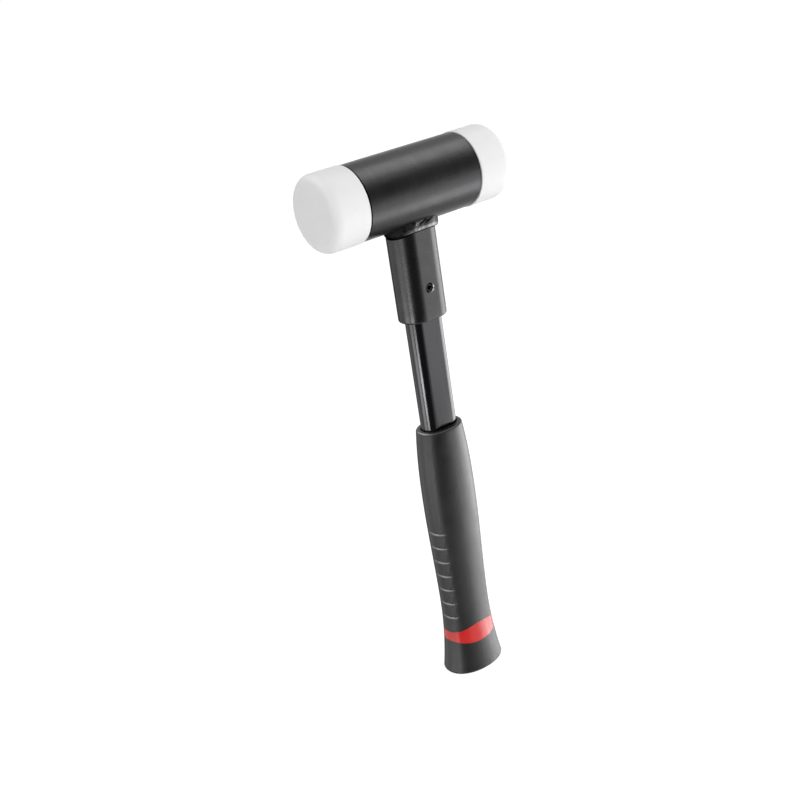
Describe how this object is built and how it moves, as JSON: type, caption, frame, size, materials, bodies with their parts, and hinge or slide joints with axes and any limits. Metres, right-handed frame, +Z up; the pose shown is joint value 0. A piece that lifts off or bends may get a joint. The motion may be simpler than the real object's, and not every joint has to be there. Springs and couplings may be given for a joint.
{
  "type": "dead blow hammer",
  "caption": "Dead blow hammer with a tubular steel head of loose shot, a nylon striking face at each end, and an oval tube handle with a ribbed rubber grip.",
  "frame": {"origin": "middle of the butt's flat end face, the lowest point of the hammer held upright", "axes": "+Z up the handle to the head, X along the head's axis with the front face at -X, Y across the narrow way of the handle"},
  "size_m": [0.1132, 0.04, 0.3044],
  "materials": {
    "head_steel": "satin black, fine turning lines",
    "sleeve_steel": "satin charcoal",
    "tube_steel": "semi-gloss black",
    "weld_metal": "rippled weld bead, blackened",
    "pin_steel": "blackened spring steel",
    "inner_steel": "plain pressed steel",
    "shot_steel": "tumbled steel",
    "nylon": "milky natural nylon, turned",
    "grip_rubber": "matte moulded, fine grain",
    "band_rubber": "satin red"
  },
  "bodies": {
    "hammer": {"head_tube": "head_steel", "front_face": "nylon", "rear_face": "nylon", "front_chamber_disc": "inner_steel", "rear_chamber_disc": "inner_steel", "neck_sleeve": "sleeve_steel", "weld_bead": "weld_metal", "handle_tube": "tube_steel", "spring_pin": "pin_steel", "grip": "grip_rubber", "grip_band": "band_rubber"},
    "shot_charge": {"shot_01": "shot_steel", "shot_02": "shot_steel", "shot_03": "shot_steel", "shot_04": "shot_steel", "shot_05": "shot_steel", "shot_06": "shot_steel", "shot_07": "shot_steel", "shot_08": "shot_steel", "shot_09": "shot_steel", "shot_10": "shot_steel", "shot_11": "shot_steel", "shot_12": "shot_steel", "shot_13": "shot_steel", "shot_14": "shot_steel", "shot_15": "shot_steel", "shot_16": "shot_steel", "shot_17": "shot_steel", "shot_18": "shot_steel", "shot_19": "shot_steel", "shot_20": "shot_steel", "shot_21": "shot_steel", "shot_22": "shot_steel", "shot_23": "shot_steel", "shot_24": "shot_steel", "shot_25": "shot_steel", "shot_26": "shot_steel", "shot_27": "shot_steel", "shot_28": "shot_steel", "shot_29": "shot_steel", "shot_30": "shot_steel", "shot_31": "shot_steel", "shot_32": "shot_steel", "shot_33": "shot_steel", "shot_34": "shot_steel", "shot_35": "shot_steel", "shot_36": "shot_steel", "shot_37": "shot_steel", "shot_38": "shot_steel", "shot_39": "shot_steel", "shot_40": "shot_steel"}
  },
  "joints": [
    {"name": "shot_slide", "type": "slide", "parent": "hammer", "child": "shot_charge", "axis": [1, 0, 0], "range_m": [-0.0042, 0.0042]}
  ]
}
